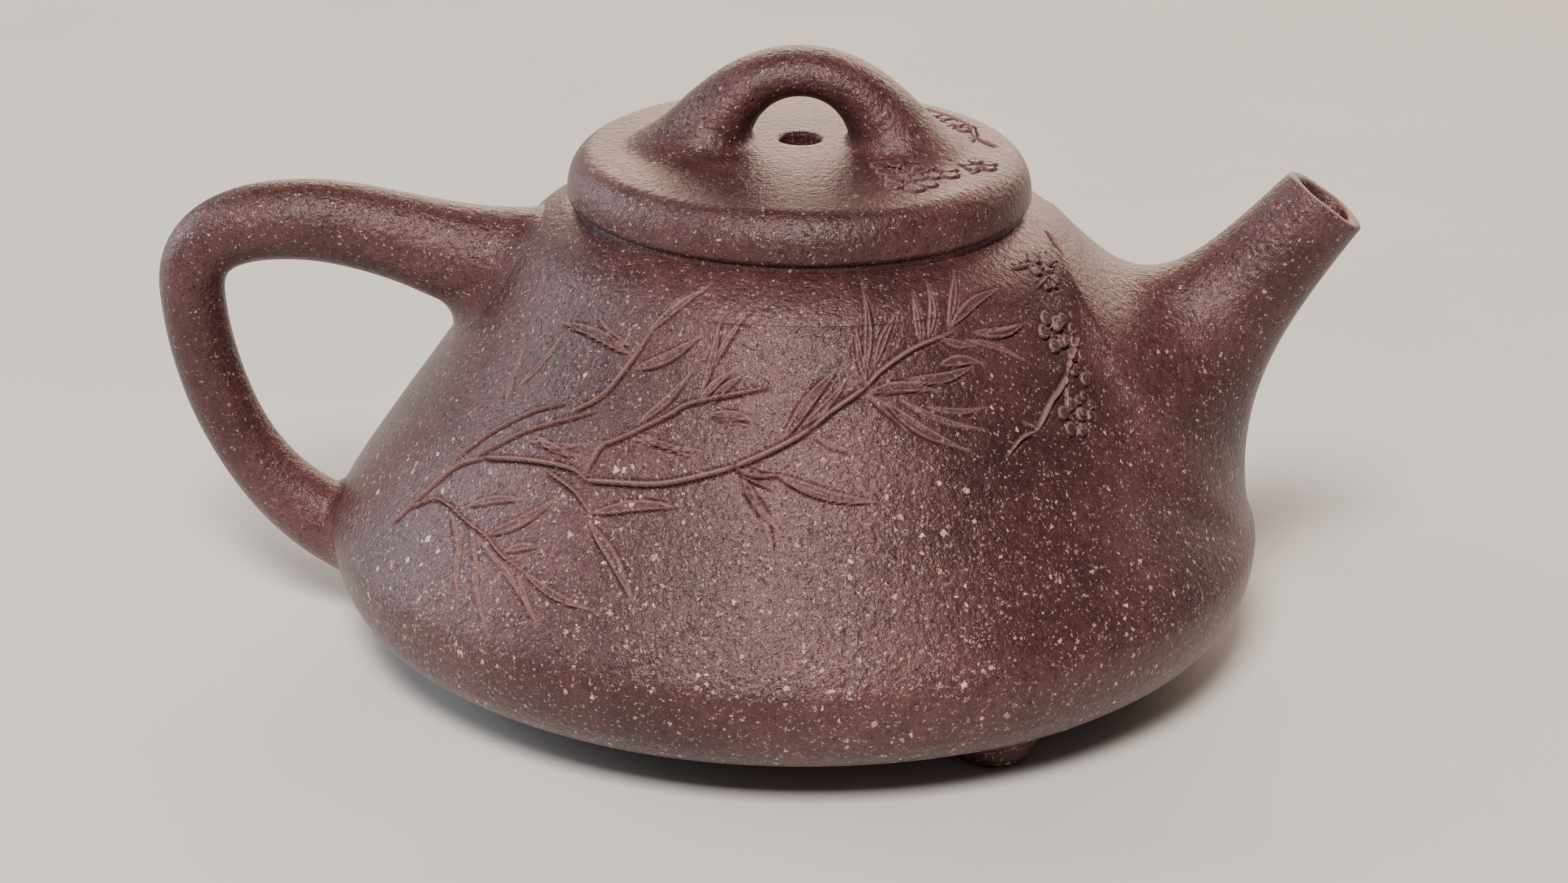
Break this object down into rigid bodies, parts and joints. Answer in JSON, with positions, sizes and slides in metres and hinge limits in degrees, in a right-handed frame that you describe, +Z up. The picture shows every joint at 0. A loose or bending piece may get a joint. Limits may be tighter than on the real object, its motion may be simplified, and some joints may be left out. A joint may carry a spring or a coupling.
{
  "type": "clay teapot",
  "caption": "Low conical unglazed clay teapot on nub feet, with a press-on lid, bridge knob, loop handle and straight tapering spout.",
  "frame": {"origin": "the point on the table under the middle of the pot, midway between the three feet, on the axis of the body and lid", "axes": "+Z up along the axis of the body and lid, +X towards the spout, -X towards the handle, -Y towards the carved front"},
  "size_m": [0.1408, 0.1104, 0.0723],
  "materials": {
    "burnished_clay": "satin",
    "raw_clay": "matte"
  },
  "bodies": {
    "pot": {"body_wall": "burnished_clay", "base_slab": "raw_clay", "shoulder_slab": "burnished_clay", "mouth_ring": "burnished_clay", "foot_under_handle": "burnished_clay", "foot_front": "burnished_clay", "foot_back": "burnished_clay", "spout": "burnished_clay", "strainer": "raw_clay", "handle": "burnished_clay"},
    "lid": {"lid_plate": "burnished_clay", "lid_collar": "raw_clay", "lid_knob": "burnished_clay"}
  },
  "joints": [
    {"name": "lid_lift", "type": "slide", "parent": "pot", "child": "lid", "axis": [0, 0, 1], "range_m": [0, 0.035]}
  ]
}
